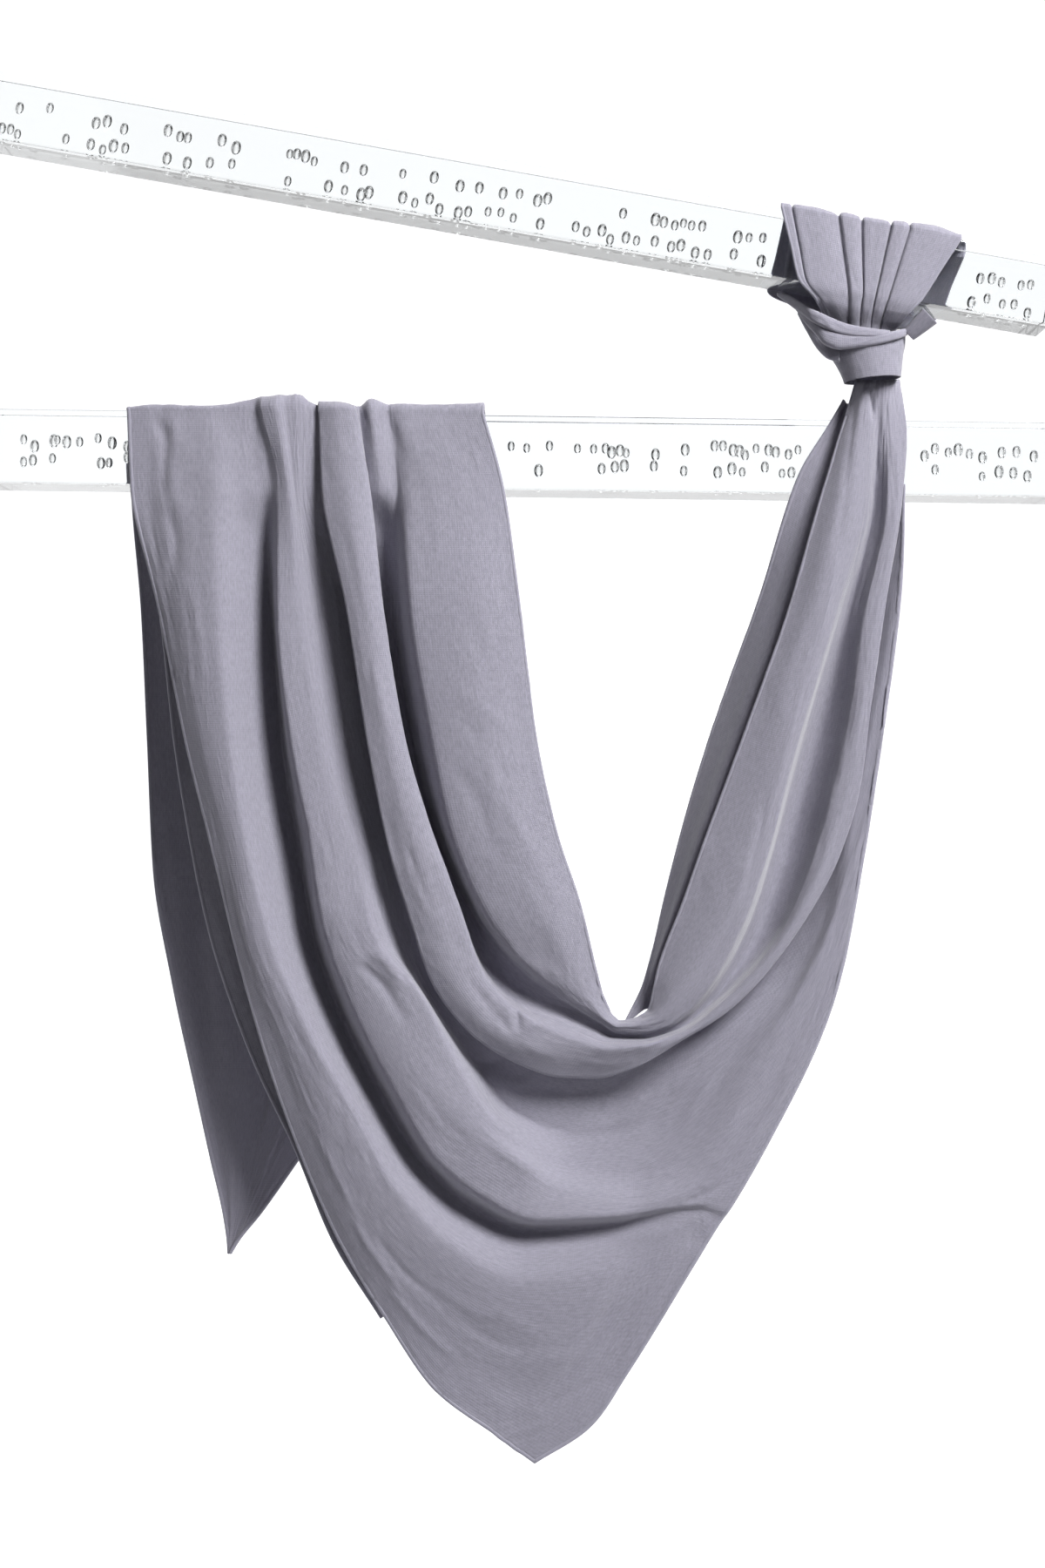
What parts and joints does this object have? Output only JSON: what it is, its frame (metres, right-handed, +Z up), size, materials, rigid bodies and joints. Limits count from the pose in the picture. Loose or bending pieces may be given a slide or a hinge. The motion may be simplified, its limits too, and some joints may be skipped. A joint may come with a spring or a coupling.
{
  "type": "crinkle scarf on two clear rods",
  "caption": "Thin crinkled scarf, folded to a triangle, draped over a clear square rod and knotted round a slanted one above, so that it hangs as a swag to a point.",
  "frame": {"origin": "centre of the left end face of the lower rod, where a holder would take it", "axes": "+Z up, +X to the viewer's right, and -Y towards the viewer, who faces the front of the swag"},
  "size_m": [0.6206, 0.1031, 0.7916],
  "materials": {
    "crinkle_cloth": "matt, finely crinkled",
    "clear_acrylic": "polished, clear"
  },
  "bodies": {
    "root": {"inner_fall": "crinkle_cloth", "inner_rise": "crinkle_cloth", "outer_fall": "crinkle_cloth", "left_under_layer": "crinkle_cloth", "right_under_layer": "crinkle_cloth", "back_fall": "crinkle_cloth", "rod_loop": "crinkle_cloth", "knot_wrap": "crinkle_cloth", "knot_band": "crinkle_cloth", "knot_tail": "crinkle_cloth", "rod_lower": "clear_acrylic", "rod_upper": "clear_acrylic"}
  },
  "joints": []
}
